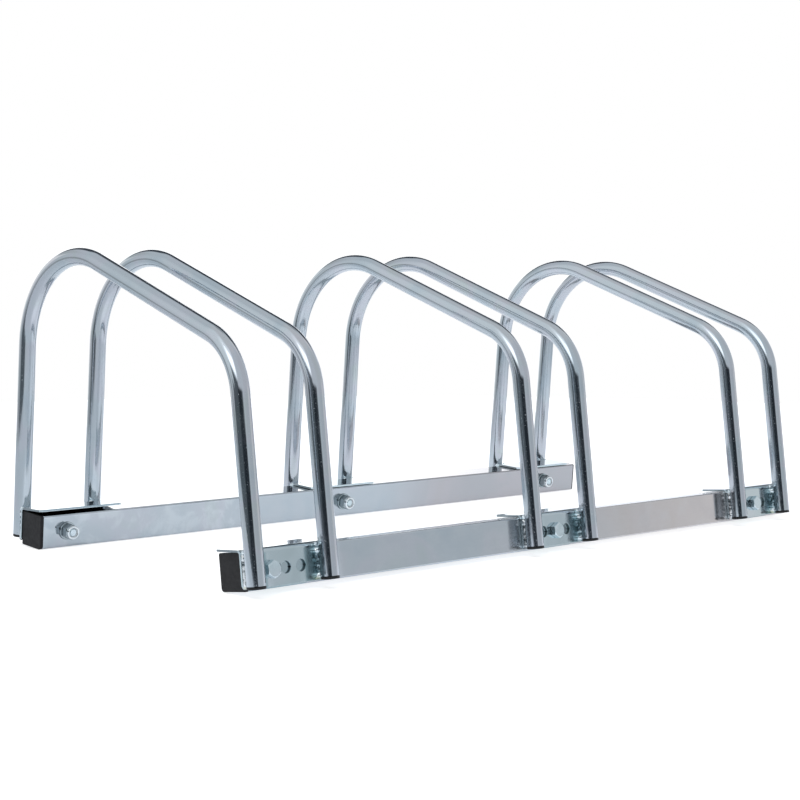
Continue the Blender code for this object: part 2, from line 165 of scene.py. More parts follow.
def cut(mesh, cutters):
    """Mesh with the cutter meshes taken out of it."""
    for cutter in cutters:
        tool = loose(cutter, "cutter")
        mesh = changed(mesh, "BOOLEAN", operation="DIFFERENCE", object=tool, solver="EXACT")
        bpy.data.objects.remove(tool, do_unlink=True)
    return mesh


def evened(mesh):
    """Mesh whose flat faces are shaded flat right up to their rounded edges."""
    return changed(mesh, "WEIGHTED_NORMAL", weight=100, keep_sharp=True)


def softened(mesh, width, segments=2):
    """Mesh with its sharp edges broken by a small bevel."""
    mesh = changed(mesh, "BEVEL", width=width, segments=segments, limit_method="ANGLE",
                   angle_limit=radians(40))
    mesh.shade_smooth()
    mesh.set_sharp_from_angle(angle=SMOOTH)
    return evened(mesh)


def keep_lay(mesh, places=None):
    """Store where each point of a mesh lies on its piece, for the material's patterns."""
    if places is None:
        places = [axis for vert in mesh.vertices for axis in vert.co]
    lay = mesh.attributes.new("lay", "FLOAT_VECTOR", "POINT")
    lay.data.foreach_set("vector", places)
    return mesh


def cross_bar(radius, near, far, x, height, steps):
    """Round bar along Y, from near to far, as a cutter."""
    section = circle(radius, steps)
    rings = [[(x + u, depth, height + v) for u, v in section] for depth in (near, far)]
    return solid(rings, "drill")


# The two leaning sides

def rail_outline(inset=0.0, corners=RAIL_CORNERS, steps=8):
    """Outline of a rail's section, or of one inside it, as (across, up) pairs."""
    points = []
    places = ((1, 1), (-1, 1), (-1, -1), (1, -1))
    for quarter, ((side, level), corner) in enumerate(zip(places, corners)):
        corner = max(corner - inset, LEAST_CORNER)
        for step in range(steps + 1):
            angle = pi / 2 * (quarter + step / steps)
            across = side * (RAIL_DEPTH / 2 - inset - corner) + corner * cos(angle)
            up = level * (RAIL_HEIGHT / 2 - inset - corner) + corner * sin(angle)
            points.append((across, up))
    return points


class Side:
    """The front or the rear row of legs, in a frame that leans as the legs do.

    X runs along the rail, Y points inwards and Z runs up the legs, from the underside
    of the foot plugs.
    """

    def __init__(self, name, facing, lean):
        self.name = name
        self.facing = facing
        self.lean = lean
        turn = Matrix.Rotation(0 if facing > 0 else pi, 4, "Z") @ Matrix.Rotation(-lean, 4, "X")
        self.matrix = Matrix.Translation((0, -facing * LEG_SPAN / 2, FOOT_CLEARANCE)) @ turn
        self.rail_left = RAIL_LEFT[name]
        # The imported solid's outline, from which the rail's height follows
        outline = rail_outline(0.0, (RAIL_CORNER,) * 4, 3)
        lowest = min(up * cos(lean) - across * sin(lean) for across, up in outline)
        self.rail_height = (RAIL_MIDDLE * sin(lean) - lowest - FOOT_CLEARANCE) / cos(lean)

    def along(self, x):
        return self.facing * x

    def bracket_top(self, number):
        return self.rail_height + RAIL_HEIGHT / 2 + BRACKET_LIFTS[self.name][number - 1]

    def leg_point(self, up):
        out = LEG_SPAN / 2 - up * sin(self.lean)
        return Vector((0, -self.facing * out, FOOT_CLEARANCE + up * cos(self.lean)))

    def leg_corner(self, height):
        return self.leg_point((height - FOOT_CLEARANCE) / cos(self.lean))

    def place(self, mesh, name, location, turn=None):
        """A piece at a place in this side's frame, its place held in a mesh of its own."""
        own = mesh.copy()
        own.name = name
        own.transform(self.matrix @ Matrix.Translation(location) @ (turn or Matrix()))
        piece = loose(own, name)
        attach(piece, "root")
        return piece


# Hoops

TUBE_STEPS = 48
BEND_STEP = radians(2.5)
POCKET_DEPTH = 0.016
TUBE_EDGE = 0.00025
# How much flatter a tube is in the middle of a bend
OVAL = 0.015
PATTERN_SHIFT = 1.7
FRONT = Side("front", 1, FRONT_LEAN)
REAR = Side("rear", -1, REAR_LEAN)


def bend_arc(before, corner, after, radius):
    """Points of the arc that rounds a corner of the hoop, each with how bent it is there."""
    inward = (before - corner).normalized()
    onward = (after - corner).normalized()
    half = inward.angle(onward) / 2
    centre = corner + (inward + onward).normalized() * (radius / sin(half))
    start = corner + inward * (radius / tan(half)) - centre
    sweep = pi - 2 * half
    steps = ceil(sweep / BEND_STEP)
    turn = sweep * (1 if inward.cross(onward).x < 0 else -1)
    points = []
    for step in range(steps + 1):
        spoke = Matrix.Rotation(turn * step / steps, 3, "X") @ start
        points.append((centre + spoke, sin(pi * step / steps)))
    return points


def hoop_route():
    """Middle line of a hoop from its rear foot to its front foot, in the plane X 0."""
    seat = FOOT_DISC + SEAT
    start = REAR.leg_point(seat)
    end = FRONT.leg_point(seat)
    back = REAR.leg_corner(REAR_CORNER_HEIGHT)
    low = FRONT.leg_corner(FRONT_CORNER_HEIGHT)
    bends = bend_arc(start, back, low, REAR_BEND_RADIUS)
    bends += bend_arc(back, low, end, FRONT_BEND_RADIUS)
    return [(start, 0.0), *bends, (end, 0.0)]


def tube_ring(point, along, radius, flat=1.0):
    """Ring of a tube in the plane X 0, square to its direction there."""
    across = Vector((0, -along.z, along.y))
    section = circle(radius, TUBE_STEPS)
    return [point + Vector((u, 0, 0)) + across * (v * flat) for u, v in section]


def pocket(foot, along, inward):
    """Rings from a tube's cut end into its bore, which the plug's stem fills."""
    bore = TUBE_RADIUS - TUBE_WALL
    stations = (
        (TUBE_RADIUS - TUBE_EDGE, 0.0),
        (bore + TUBE_EDGE, 0.0),
        (bore, TUBE_EDGE),
        (bore, POCKET_DEPTH),
    )
    return [tube_ring(foot + inward * height, along, radius) for radius, height in stations]


def hoop_mesh(x, start):
    """Bent tube with open ends, and where each point lies round and along it.

    The lengths count from start, so that no two hoops have the same pattern.
    """
    route = hoop_route()
    last = len(route) - 1
    points = [point for point, bend in route]
    first_way = (points[1] - points[0]).normalized()
    last_way = (points[-1] - points[-2]).normalized()
    rings = list(reversed(pocket(points[0], first_way, first_way)))
    reach = [start] * len(rings)
    total = start
    for index, (point, bend) in enumerate(route):
        ahead = (points[min(index + 1, last)] - point).normalized()
        behind = (point - points[max(index - 1, 0)]).normalized()
        along = (ahead + behind).normalized()
        if index in (0, last):
            point = point + along * (TUBE_EDGE if index == 0 else -TUBE_EDGE)
        total += (point - points[max(index - 1, 0)]).length if index else 0.0
        rings.append(tube_ring(point, along, TUBE_RADIUS, 1 - OVAL * bend))
        reach.append(total)
    rings += pocket(points[-1], last_way, -last_way)
    reach += [total] * (len(rings) - len(reach))
    mesh = solid(rings, "hoop")
    mesh.transform(Matrix.Translation((x, 0, 0)))
    turns = circle(TUBE_RADIUS, TUBE_STEPS)
    places = [part for length in reach for u, v in turns for part in (u, v, length)]
    return keep_lay(mesh, places)


# Rails

RAIL_HOLE = 0.0045
RAIL_EDGE = 0.0002


def rail_mesh(side):
    """Rectangular tube with rounded corners and a pair of holes for each bolt."""
    bm = bmesh.new()
    skins = []
    for inset in (0.0, RAIL_WALL):
        rings = [[(x, across, up) for across, up in rail_outline(inset)] for x in (0, RAIL_LENGTH)]
        skins.append(grid_skin(bm, rings))
    for end in (0, -1):
        band(bm, skins[0][end], skins[1][end])
    cutters = []
    for pair, hole in zip(PAIRS, BOLTED_HOLE):
        from_left = pair + hole * HOLE_PITCH - side.rail_left
        offset = from_left if side.facing > 0 else RAIL_LENGTH - from_left
        cutters.append(cross_bar(RAIL_HOLE, -RAIL_DEPTH, RAIL_DEPTH, offset, 0, 32))
    return softened(cut(to_mesh(bm, "rail"), cutters), RAIL_EDGE, 1)


# Brackets

BRACKET_EDGE = 0.00022


def bracket_profile(opening):
    """Angle section as (inwards, up) pairs, with up measured from the rail's top."""
    steps = 10
    centre = (WEB_INNER + BRACKET_BEND, SEAT - BRACKET_BEND * cos(opening))
    sweep = pi / 2 - opening
    foot = BRACKET_SHORTFALL - RAIL_HEIGHT
    outer = []
    inner = []
    for step in range(steps + 1):
        angle = pi - sweep * step / steps
        for arc, radius in ((outer, BRACKET_BEND + BRACKET_THICKNESS), (inner, BRACKET_BEND)):
            arc.append((centre[0] + radius * cos(angle), centre[1] + radius * sin(angle)))
    flange = (RAIL_INNER - inner[-1][0]) / cos(opening)
    run = flange * cos(opening)
    rise = flange * sin(opening)
    top = [(WEB_OUTER, foot), *outer, (outer[-1][0] + run, outer[-1][1] + rise)]
    under = [(inner[-1][0] + run, inner[-1][1] + rise), *reversed(inner), (WEB_INNER, foot)]
    return top + under


def bracket_mesh(opening):
    """Bent plate with rounded corners, three holes and broken edges, from the rail's top."""
    half = BRACKET_LENGTH / 2
    profile = bracket_profile(opening)
    bm = bmesh.new()
    skins = grid_skin(bm, [[(x, depth, up) for depth, up in profile] for x in (-half, half)])
    bm.faces.new(skins[0])
    bm.faces.new(skins[-1])
    bmesh.ops.recalc_face_normals(bm, faces=bm.faces)
    bm.verts.ensure_lookup_table()
    count = len(profile)
    tips = (0, count // 2 - 1, count // 2, count - 1)
    corner_edges = []
    for end in (0, count):
        for first, second in ((tips[0], tips[3]), (tips[1], tips[2])):
            corner_edges.append(bm.edges.get((bm.verts[end + first], bm.verts[end + second])))
    bmesh.ops.bevel(bm, geom=corner_edges, offset=BRACKET_CORNER, segments=6, profile=0.5,
                    affect="EDGES")
    plate = to_mesh(bm, "bracket")
    drills = [cross_bar(HOLE_RADIUS, 0, 2 * WEB_INNER, x, -RAIL_HEIGHT / 2, 40)
              for x in (-HOLE_PITCH, 0, HOLE_PITCH)]
    return keep_lay(softened(cut(plate, drills), BRACKET_EDGE))


# Weld beads

# How far a bead reaches over the bracket from the leg's middle, how much that varies, and
# the angle round the leg where it ends: between the legs, and at the bracket's ends
INNER_BEAD = (0.0094, 0.0008, radians(66))
OUTER_BEAD = (0.0063, 0.0001, radians(46))
# A bead's top, from the rail's top, and how far its foot lies over the bracket's lower edge
BEAD_TOP = -0.0016
BEAD_FOOT = 0.0006
BEAD_THICKNESS = 0.0008
BEAD_SUNK = 0.0008
BEAD_TAPER = 0.0016
BEAD_ROOT = radians(14)
# Size and height of what roughens a bead
BEAD_LUMPS = (0.0019, 0.00022)
BEAD_GRAIN = (0.0009, 0.00005)
# How far from a bead's ends it swells, and over what length
BEAD_BLOB = (0.0034, 0.0026)
# Half sizes of a lump at the bend, and how far it lies from the leg's middle, out of the
# bracket's face and under the rail's top
TOP_LUMP = (0.0019, 0.0017, 0.0023)
INNER_LUMP_OFF = 0.0064
OUTER_LUMP_OFF = 0.0046
LUMP_OUT = 0.0012
LUMP_UNDER = 0.0004


def rough(point, size, amount, seed):
    """Noise at a point, from -amount to amount."""
    place = Vector(point) / size + Vector((seed * 7.31, seed * 3.17, seed * 5.53))
    return noise.noise(place) * 2 * amount


def bead_mesh(hand, bead, seed, name):
    """Smooth fillet in the corner between a leg and the bracket's face, lumpy at its ends."""
    stations = 100
    around = 14
    base, vary, toe_angle = bead
    bottom = BRACKET_SHORTFALL - RAIL_HEIGHT + BEAD_FOOT
    sunk = WEB_OUTER + BEAD_SUNK
    clear = TUBE_RADIUS - 0.0001
    contact = (clear * sin(toe_angle), clear * cos(toe_angle))
    rings = []
    places = []
    for station in range(stations + 1):
        share = station / stations
        level = bottom + (BEAD_TOP - bottom) * share
        end = min(share, 1 - share) * (BEAD_TOP - bottom)
        full = sqrt(max(0.0, 1 - max(0.0, 1 - end / BEAD_TAPER) ** 2)) * 0.8 + 0.2
        blob = max(0.0, 1 - ((end - BEAD_BLOB[0]) / BEAD_BLOB[1]) ** 2)
        swell = 0.3 + 0.95 * blob + rough((level, 0, 0), 0.0035, 0.3, seed + 2)
        toe = base + vary * (1.3 * blob - 0.3 + rough((0, 0, level), 0.004, 0.6, seed))
        ring = []
        for step in range(around + 1):
            t = step / around
            across = toe + (contact[0] - toe) * t
            depth = WEB_OUTER + (contact[1] - WEB_OUTER) * t
            lump = rough((across, level * 0.6, depth), *BEAD_LUMPS, seed + 4)
            grain = rough((across, level, depth), *BEAD_GRAIN, seed + 5)
            bulge = max(0.0, BEAD_THICKNESS * swell * full + lump + grain) * sin(pi * t)
            lean = 0.8 if base > TUBE_RADIUS else 0.2
            ring.append((across + bulge * lean, depth - bulge * 0.9))
        for step in range(1, 4):
            angle = toe_angle + (BEAD_ROOT - toe_angle) * step / 3
            ring.append((clear * sin(angle), clear * cos(angle)))
        ring += [(clear * sin(BEAD_ROOT), sunk), (toe, sunk)]
        rings.append([(hand * across, depth, level) for across, depth in ring])
        # The lay's first part, how much the bead swells there, is where the weld material paints
        # its highlight
        places += [part for across, _ in ring for part in (blob, across, level)]
    return keep_lay(solid(rings, name, radians(70)), places)


def blob_mesh(size, seed, name):
    """Lump of weld metal."""
    bm = bmesh.new()
    bmesh.ops.create_icosphere(bm, subdivisions=4, radius=1.0)
    for vert in bm.verts:
        way = vert.co.normalized()
        swell = 1 + rough(way, 0.8, 0.25, seed) + rough(way, 0.4, 0.08, seed + 1)
        vert.co = Vector((way.x * size[0], way.y * size[1], way.z * size[2])) * swell
    mesh = to_mesh(bm, name, radians(80))
    # The whole lump is marked for the weld material's painted highlight
    return keep_lay(mesh, (1.0, 0.0, 0.0) * len(mesh.vertices))


# Bolts, washers and lock nuts

THREAD_PITCH = 0.00125
THREAD_DEPTH = 0.0006
THREAD_LENGTH = 0.024
THREAD_STEPS = 36
THREAD_RADIUS = BOLT_RADIUS - 0.00005
# Across the flats of head and nut, and how steeply their corners are turned down
FLATS = 0.013
HEX_SLOPE = tan(radians(28))
HEAD_HEIGHT = 0.0053
HEXAGON_HEIGHT = 0.0065
COLLAR_RADIUS = 0.0063
COLLAR_RIM = 0.0009
HEX_STEPS = 72


def hex_ring(height, face_radius, sense):
    """Ring on a hexagon's side where a cone from its end face cuts it."""
    ring = []
    for step in range(HEX_STEPS):
        angle = 2 * pi * step / HEX_STEPS
        within = (angle - pi / 2) % (pi / 3) - pi / 6
        radius = FLATS / 2 / cos(within)
        drop = max(0.0, radius - face_radius) * HEX_SLOPE
        ring.append((radius * cos(angle), radius * sin(angle), height - sense * drop))
    return ring


def thread_ring(height, amount, limit):
    """Ring of a threaded shank: one helical ridge for each pitch, none beyond the limit."""
    ring = []
    for step in range(THREAD_STEPS):
        angle = 2 * pi * step / THREAD_STEPS
        wave = (height / THREAD_PITCH - step / THREAD_STEPS) % 1.0
        ridge = min(1.0, 1.25 * abs(2 * wave - 1))
        radius = min(limit, THREAD_RADIUS - THREAD_DEPTH * amount * (1 - ridge))
        ring.append((radius * cos(angle), radius * sin(angle), height))
    return ring


def bolt_head():
    """Hexagon head below Z 0, its outer face turned down to a circle."""
    face = FLATS / 2 * 0.95
    edge = 0.00004 - HEAD_HEIGHT
    end = ((face * 0.62, 0.00012 - HEAD_HEIGHT), (face - 0.0002, -HEAD_HEIGHT), (face, edge))
    rings = turned(end, HEX_STEPS) + [hex_ring(edge, face, -1), hex_ring(-0.0002, FLATS, 1)]
    return evened(solid(rings + turned(((face, 0),), HEX_STEPS), "bolt_head", radians(24)))


def bolt_shank():
    """Threaded shank from the head's seat up, with a chamfered end."""
    start = BOLT_LENGTH - THREAD_LENGTH
    plain = ((THREAD_RADIUS, -0.001), (THREAD_RADIUS, start - 0.0005))
    rings = turned(plain, THREAD_STEPS)
    steps = int(THREAD_LENGTH / THREAD_PITCH * 8)
    for step in range(steps + 1):
        height = start + (THREAD_LENGTH - 0.0005) * step / steps
        limit = BOLT_RADIUS - max(0.0, height - (BOLT_LENGTH - 0.0011)) * 0.9
        rings.append(thread_ring(height, min(1.0, step / 10), limit))
    tip = BOLT_RADIUS - 0.001
    rings += turned(((tip, BOLT_LENGTH), (tip * 0.6, BOLT_LENGTH - 0.00008)), THREAD_STEPS)
    return solid(rings, "bolt_shank", radians(50))


def washer_mesh():
    """Stamped flat washer from Z 0 up, with one edge rolled over."""
    outer = 0.0085
    bore = 0.0042
    thick = WASHER_THICKNESS
    stations = (
        (bore, 0.00015), (bore + 0.00015, 0), (outer - 0.0001, 0), (outer, 0.0001),
        (outer, thick - 0.0004), (outer - 0.0001, thick - 0.00015), (outer - 0.0004, thick),
        (bore + 0.0002, thick), (bore, thick - 0.0002),
    )
    return evened(solid(turned(stations, 64), "washer", radians(50), hollow=True))


def nut_mesh():
    """Lock nut from Z 0 up: a hexagon with a collar rolled over its insert."""
    bore = 0.0043
    groove = 0.0053
    face = FLATS / 2 * 0.96
    low = ((bore, 0.0004), (bore + 0.0003, 0.0), (face, 0.0))
    rings = turned(low, HEX_STEPS)
    rings += [hex_ring(0.00004, face, -1), hex_ring(HEXAGON_HEIGHT, COLLAR_RADIUS, 1)]
    high = [(COLLAR_RADIUS, HEXAGON_HEIGHT + 0.00005)]
    high.append((COLLAR_RADIUS - 0.0001, HEXAGON_HEIGHT + 0.0003))
    top = NUT_HEIGHT - 0.00002
    for step in range(9):
        angle = radians(10 + 130 * step / 8)
        radius = COLLAR_RADIUS - COLLAR_RIM + COLLAR_RIM * cos(angle)
        high.append((radius, top - COLLAR_RIM + COLLAR_RIM * sin(angle)))
    high += [(groove - 0.0003, top - 0.0008), (groove, top - 0.0014)]
    high += [(groove, HEXAGON_HEIGHT), (bore, HEXAGON_HEIGHT - 0.0002)]
    return keep_lay(evened(solid(rings + turned(high, HEX_STEPS), "nut", radians(24), hollow=True)))


def insert_mesh():
    """Plastic ring inside the nut's collar."""
    base = HEXAGON_HEIGHT + 0.0001
    top = NUT_HEIGHT - 0.0011
    bore = 0.0039
    outer = 0.0052
    stations = (
        (bore, base), (outer, base), (outer, top - 0.0002),
        (outer - 0.0004, top + 0.0001), (bore + 0.0003, top), (bore, top - 0.0003),
    )
    return solid(turned(stations, 48), "insert", radians(50), hollow=True)


# Plastic plugs

STEM_CLEARANCE = 0.00015
RIBS = 4
RIB_PITCH = 0.0026
RIB_DEPTH = 0.0006


def rib_stations(start):
    """Along a stem from its start, each with how far it lies under the ribs' tips."""
    stations = []
    for rib in range(RIBS):
        base = start + 0.0008 + rib * RIB_PITCH
        stations += [(base, RIB_DEPTH), (base + 0.0003, 0.0), (base + 0.0016, RIB_DEPTH)]
    return stations + [(start + 0.0115, 0.0008), (start + 0.012, 0.0014)]


def foot_mesh():
    """Plug for a leg: a rounded disc under the tube and a ribbed stem inside it."""
    stem = TUBE_RADIUS - TUBE_WALL - STEM_CLEARANCE
    round_over = 0.0006
    stations = [(0.0042, 0.0004), (0.0048, 0.0002), (0.0052, 0.0)]
    for step in range(5):
        angle = radians(-90 + 90 * step / 4)
        radius = TUBE_RADIUS - round_over + round_over * cos(angle)
        stations.append((radius, round_over + round_over * sin(angle)))
    stations += [(TUBE_RADIUS, FOOT_DISC - 0.0002), (TUBE_RADIUS - 0.0002, FOOT_DISC),
                 (stem - RIB_DEPTH, FOOT_DISC)]
    stations += [(stem - under, z) for z, under in rib_stations(FOOT_DISC)]
    return solid(turned(stations, 48), "foot", radians(40))


def cap_mesh(collar, hand):
    """Plug for a rail's end: a rounded collar outside it and a ribbed stem along +X.

    A plug of hand -1 is for the end where it is turned half round.
    """
    stem = RAIL_WALL + STEM_CLEARANCE
    round_over = 0.00035
    stations = [(-collar + 0.00015, 0.004), (-collar, 0.0025)]
    for step in range(5):
        angle = radians(90 * step / 4)
        inset = round_over * (1 - sin(angle))
        stations.append((-collar + round_over * (1 - cos(angle)), inset))
    stations += [(-0.0002, 0.0), (0.0, 0.0002), (0.0, stem + RIB_DEPTH)]
    stations += [(x, stem + under) for x, under in rib_stations(0.0)]
    rings = [[(x, hand * across, up) for across, up in rail_outline(inset)][::hand]
             for x, inset in stations]
    return evened(solid(rings, "cap", radians(40)))


# Materials

def is_socket(value):
    return isinstance(value, bpy.types.NodeSocket)


class Nodes:
    """A node tree, with short ways to add to it.

    A value or a colour is either a socket to link or what is set in its place.
    """

    def __init__(self, tree):
        self.tree = tree

    def add(self, kind, inputs=None, **settings):
        """A new node with its settings, and a value for each named or numbered input."""
        node = self.tree.nodes.new(kind)
        for key, value in settings.items():
            setattr(node, key, value)
        for key, value in (inputs or {}).items():
            if is_socket(value):
                self.join(value, node.inputs[key])
            else:
                node.inputs[key].default_value = value
        return node

    def join(self, output, socket):
        self.tree.links.new(output, socket)

    def combine(self, first, second=0.0, operation="ADD", third=0.0):
        inputs = {0: first, 1: second, 2: third}
        return self.add("ShaderNodeMath", inputs, operation=operation).outputs["Value"]

    def times(self, first, second):
        return self.combine(first, second, "MULTIPLY")

    def gap(self, value, place):
        """How far a value lies from a place, either way."""
        return self.combine(self.combine(value, place, "SUBTRACT"), operation="ABSOLUTE")

    def spread(self, value, low, high, to_low=0.0, to_high=1.0):
        """A value's range from low to high, as another range."""
        inputs = {"Value": value, "From Min": low, "From Max": high,
                  "To Min": to_low, "To Max": to_high}
        node = self.add("ShaderNodeMapRange", inputs, interpolation_type="SMOOTHSTEP")
        return node.outputs["Result"]

    def tint(self, colour, amount, other):
        """A colour taken towards another by an amount."""
        first, second = (part if is_socket(part) else (*part, 1.0) for part in (colour, other))
        inputs = {"Factor": amount, 6: first, 7: second}
        return self.add("ShaderNodeMix", inputs, data_type="RGBA").outputs[2]

    def axes(self, vector):
        """The three parts of a vector."""
        return list(self.add("ShaderNodeSeparateXYZ", {"Vector": vector}).outputs)

    def measure(self, vector, other, operation="DOT_PRODUCT"):
        """How far a vector reaches along a direction, or lies from a place."""
        node = self.add("ShaderNodeVectorMath", {0: vector, 1: other}, operation=operation)
        return node.outputs["Value"]


class Look(Nodes):
    """A material's node tree, with its patterns."""

    def __init__(self, name, **inputs):
        self.material = bpy.data.materials.new(name)
        self.material.use_nodes = True
        super().__init__(self.material.node_tree)
        self.shader = self.tree.nodes["Principled BSDF"]
        for socket, value in inputs.items():
            self.shader.inputs[socket.replace("_", " ")].default_value = value

    def place(self, attribute=None, scale=(1, 1, 1)):
        """Where a point lies on its piece, stretched by a scale along each way."""
        if attribute:
            source = self.add("ShaderNodeAttribute", attribute_name=attribute).outputs["Vector"]
        else:
            source = self.add("ShaderNodeTexCoord").outputs["Object"]
        mapping = self.add("ShaderNodeMapping", {"Scale": scale, "Vector": source})
        return mapping.outputs["Vector"]

    def noise(self, place, scale, detail, roughness, distortion=0.0):
        inputs = {"Vector": place, "Scale": scale, "Detail": detail, "Roughness": roughness,
                  "Distortion": distortion}
        return self.add("ShaderNodeTexNoise", inputs).outputs["Fac"]

    def ramp(self, value, stops):
        """Colour for a value, from (place, colour) stops."""
        node = self.add("ShaderNodeValToRGB", {"Fac": value})
        node.color_ramp.interpolation = "EASE"
        elements = node.color_ramp.elements
        while len(elements) < len(stops):
            elements.new(0.5)
        for element, (at, colour) in zip(elements, stops):
            element.position = at
            element.color = (*colour, 1.0)
        return node.outputs["Color"]

    def bump(self, height, distance, strength, under=None):
        inputs = {"Height": height, "Distance": distance, "Strength": strength}
        if under:
            inputs["Normal"] = under
        return self.add("ShaderNodeBump", inputs).outputs["Normal"]

    def complete(self, colour, dull=None, normal=None):
        """Join what the patterns give to the shader; returns the material."""
        for value, socket in ((colour, "Base Color"), (dull, "Roughness"), (normal, "Normal")):
            if value:
                self.join(value, self.shader.inputs[socket])
        return self.material


# Colours of clouded zinc, as (place, colour) stops
TUBE_ZINC = (
    (0.3, (0.485, 0.55, 0.6)),
    (0.46, (0.53, 0.58, 0.62)),
    (0.58, (0.55, 0.575, 0.625)),
    (0.72, (0.53, 0.58, 0.595)),
)
RAIL_ZINC = (
    (0.32, (0.5, 0.56, 0.605)),
    (0.48, (0.53, 0.58, 0.62)),
    (0.6, (0.555, 0.585, 0.63)),
    (0.74, (0.535, 0.585, 0.61)),
)
# Painted reflection: the warmer colours the rails take towards their right ends, darker on the rear
# rail as painted shade
FRONT_WARM_REFLECTION = (
    (0.32, (0.62, 0.6, 0.605)), (0.52, (0.65, 0.625, 0.625)), (0.7, (0.64, 0.61, 0.6)),
)
REAR_WARM_REFLECTION = (
    (0.32, (0.45, 0.455, 0.475)), (0.52, (0.48, 0.47, 0.49)), (0.7, (0.475, 0.465, 0.48)),
)
PLATE_ZINC = (
    (0.3, (0.47, 0.55, 0.575)), (0.5, (0.5, 0.58, 0.61)), (0.72, (0.53, 0.59, 0.625)),
)
# Weld colours: the inner beads' dark teal is a painted dark reflection, the outer beads' light grey
# painted light, on one weld metal
INNER_WELD = (
    (0.34, (0.09, 0.135, 0.15)), (0.48, (0.2, 0.28, 0.31)), (0.62, (0.4, 0.5, 0.54)),
)
OUTER_WELD = (
    (0.38, (0.07, 0.09, 0.1)), (0.47, (0.42, 0.45, 0.46)), (0.6, (0.84, 0.85, 0.85)),
)


def shaded(stops, shade):
    return [(at, tuple(shade * part for part in colour)) for at, colour in stops]


def zinc_tube_look():
    """Bright blue-white zinc on drawn tube, clouded, with fine specks and drawing lines."""
    look = Look("bright_zinc_tube", Metallic=1.0)
    place = look.place("lay")
    streaks = look.place("lay", (1.0, 1.0, 0.03))
    cloud = look.noise(place, 22.0, 2.0, 0.5, 0.6)
    colour = look.ramp(cloud, TUBE_ZINC)
    speck = look.spread(look.noise(place, 900.0, 2.0, 0.4), 0.68, 0.74)
    colour = look.tint(colour, look.times(speck, 0.35), (0.4, 0.42, 0.43))
    dull = look.spread(look.noise(place, 60.0, 4.0, 0.6), 0.35, 0.7, 0.07, 0.12)
    lines = look.spread(look.noise(streaks, 700.0, 3.0, 0.6), 0.4, 0.75, 0.0, 0.05)
    dull = look.combine(look.combine(dull, lines), look.times(speck, 0.3))
    wave = look.bump(look.noise(streaks, 160.0, 2.0, 0.5), 0.00002, 0.5)
    grain = look.bump(look.noise(place, 1400.0, 2.0, 0.5), 0.000005, 0.5, wave)
    return look.complete(colour, dull, grain)


def from_nearest_pair(look, x, to_leg=None):
    """How far a place lies from the middle of the nearest pair, or from its nearest leg."""
    nearest = RAIL_LENGTH
    for pair in PAIRS:
        off = look.gap(x, pair)
        if to_leg:
            off = look.gap(off, to_leg)
        nearest = look.combine(nearest, off, "MINIMUM")
    return nearest


def painted_hole_shade(look, x, across):
    """Over 0 on the rail's outer face where it shows through a bracket's holes: the painted shade
    there.
    """
    last = HOLE_PITCH + HOLE_RADIUS
    shade = look.spread(from_nearest_pair(look, x), last, last + 0.002, 0.3, 0.0)
    face = look.spread(across, 0.0002 - RAIL_DEPTH / 2, 0.0006 - RAIL_DEPTH / 2, 1.0, 0.0)
    return look.times(shade, face)


def zinc_rail_look(name, shade, ends, warm_reflection_stops, clouds, cloud_end, dulled):
    """Smooth zinc on rectangular tube, bluish at its left end, with a painted reflection that makes
    it warmer at its right.

    The ends are where along the rail the warmer painted reflection begins and is full. The shade
    value lightens or darkens the zinc as painted light and shade. The cloudy bloom has a strength
    and a place where it stops; dulled says how much rougher the zinc is beside the legs, and a rail
    with it also gets painted shade where its face shows through a bracket's holes.
    """
    look = Look(name, Metallic=1.0)
    place = look.place()
    streaks = look.place(scale=(0.04, 1.0, 1.0))
    cloud = look.noise(place, 14.0, 2.0, 0.5, 0.8)
    cool = look.ramp(cloud, shaded(RAIL_ZINC, shade))
    warm_reflection = look.ramp(cloud, warm_reflection_stops)
    x, across, _ = look.axes(place)
    colour = look.tint(cool, look.spread(x, *ends), warm_reflection)
    bloom = look.spread(look.noise(place, 38.0, 4.0, 0.6, 0.4), 0.45, 0.63, 0.0, clouds)
    bloom = look.times(bloom, look.spread(x, cloud_end - 0.06, cloud_end, 1.0, 0.0))
    colour = look.tint(colour, bloom, (0.68, 0.72, 0.74))
    mark = look.spread(look.noise(place, 120.0, 3.0, 0.6, 0.5), 0.68, 0.76, 0.0, 0.12)
    colour = look.tint(colour, mark, (0.42, 0.44, 0.47))
    dull = look.spread(look.noise(place, 50.0, 4.0, 0.6), 0.3, 0.72, 0.06, 0.11)
    lines = look.spread(look.noise(streaks, 420.0, 3.0, 0.6), 0.4, 0.75, 0.0, 0.03)
    dull = look.combine(dull, lines)
    if dulled:
        off = from_nearest_pair(look, x, HOOP_SPACING / 2)
        near_leg = look.spread(off, 0.019, 0.028, 1.0, 0.0)
        dull = look.combine(near_leg, dulled, "MULTIPLY_ADD", dull)
        # Painted shade on the rail's face where it shows through a bracket's holes
        colour = look.tint(colour, painted_hole_shade(look, x, across), (0.12, 0.32, 0.33))
    grain = look.bump(look.noise(streaks, 300.0, 2.0, 0.5), 0.000003, 0.5)
    return look.complete(colour, dull, grain)


def plate_pattern(look, rough_low, rough_high, shade):
    """Colour and roughness of bright zinc over pressed sheet or forged steel."""
    place = look.place()
    cloud = look.noise(place, 30.0, 2.0, 0.5, 0.5)
    dull = look.spread(look.noise(place, 180.0, 4.0, 0.6), 0.32, 0.7, rough_low, rough_high)
    return look.ramp(cloud, shaded(PLATE_ZINC, shade)), dull


def zinc_plate_look(name, rough_low, rough_high, shade, dents=0.0):
    """Bright zinc, with faint dents if it is forged."""
    look = Look(name, Metallic=1.0)
    colour, dull = plate_pattern(look, rough_low, rough_high, shade)
    dent = look.bump(look.noise(look.place(), 420.0, 2.0, 0.5), dents, 0.6) if dents else None
    return look.complete(colour, dull, dent)


